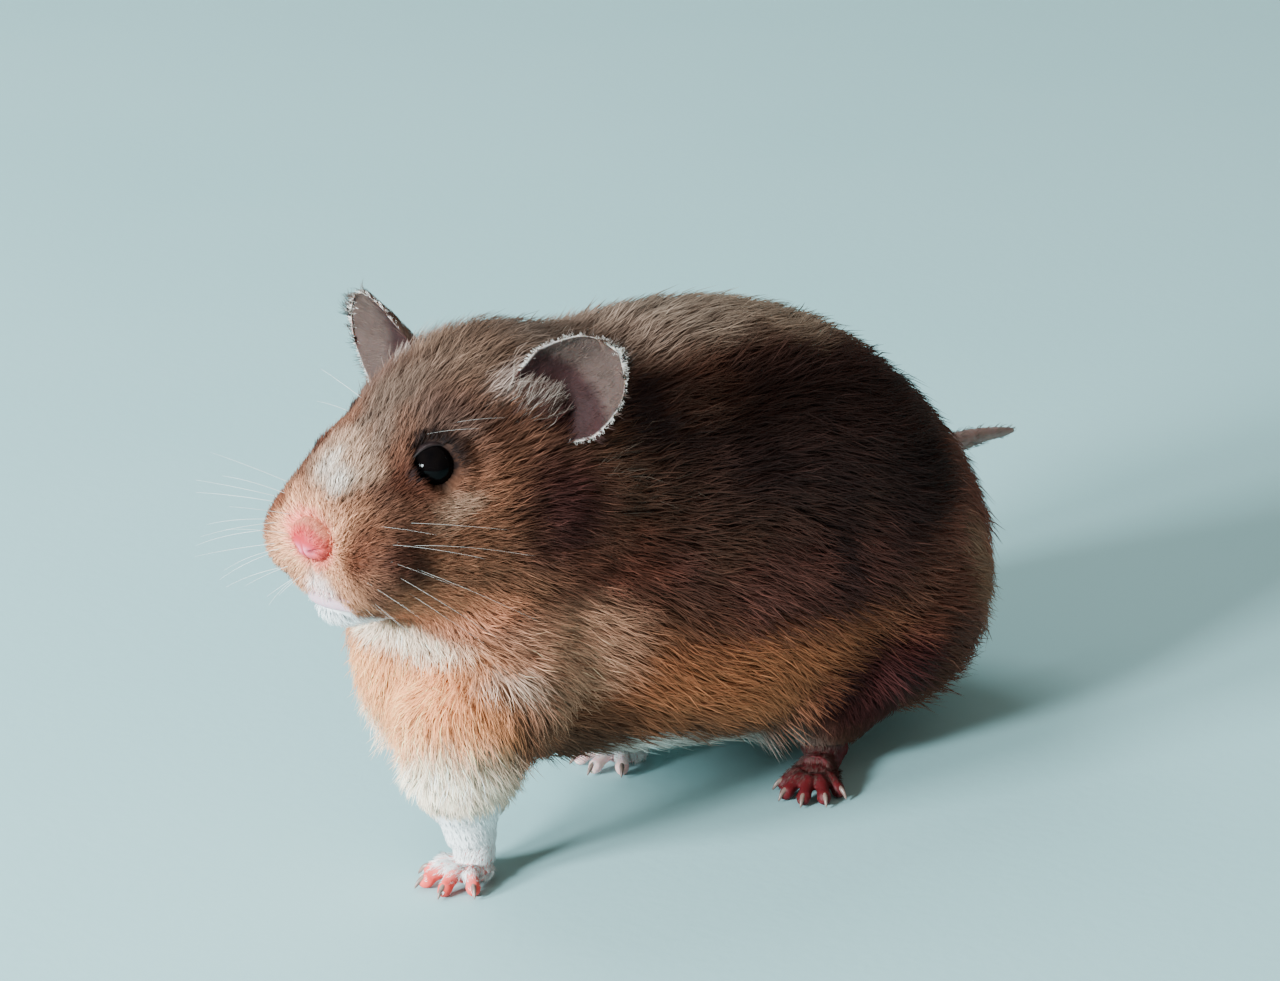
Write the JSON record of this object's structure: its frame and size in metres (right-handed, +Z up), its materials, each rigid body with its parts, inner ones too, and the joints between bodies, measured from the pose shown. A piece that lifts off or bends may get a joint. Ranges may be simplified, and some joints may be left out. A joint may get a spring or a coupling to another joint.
{
  "type": "syrian hamster",
  "caption": "Life-size Syrian hamster in mid-step on all fours, head raised, with cupped ears, short tail and clawed paws.",
  "frame": {"origin": "middle of the bounding box, at the floor that the paws rest on", "axes": "+Z up, the nose points along -Y, the animal's left side is +X"},
  "size_m": [0.0554, 0.1306, 0.0717],
  "materials": {
    "coat_brown": "short dense brown fur",
    "coat_dark": "short dense dark brown fur",
    "coat_orange": "short dense orange-tan fur",
    "coat_white": "short soft white fur",
    "ear_skin": "thin matt grey-pink skin with fine down",
    "pink_skin": "bare pink skin, satin",
    "eye": "wet gloss black"
  },
  "bodies": {
    "root": {"head": "coat_brown", "neck": "coat_brown", "torso": "coat_brown", "foreleg_left": "coat_orange", "foreleg_right": "coat_orange", "hindleg_left": "coat_dark", "hindleg_right": "coat_dark", "lower_jaw": "coat_white", "ear_left": "ear_skin", "ear_right": "ear_skin", "eye_left": "eye", "eye_right": "eye", "nose": "pink_skin", "tail": "pink_skin", "forepaw_left": "pink_skin", "forepaw_right": "pink_skin", "hindfoot_left": "pink_skin", "hindfoot_right": "pink_skin"}
  },
  "joints": []
}
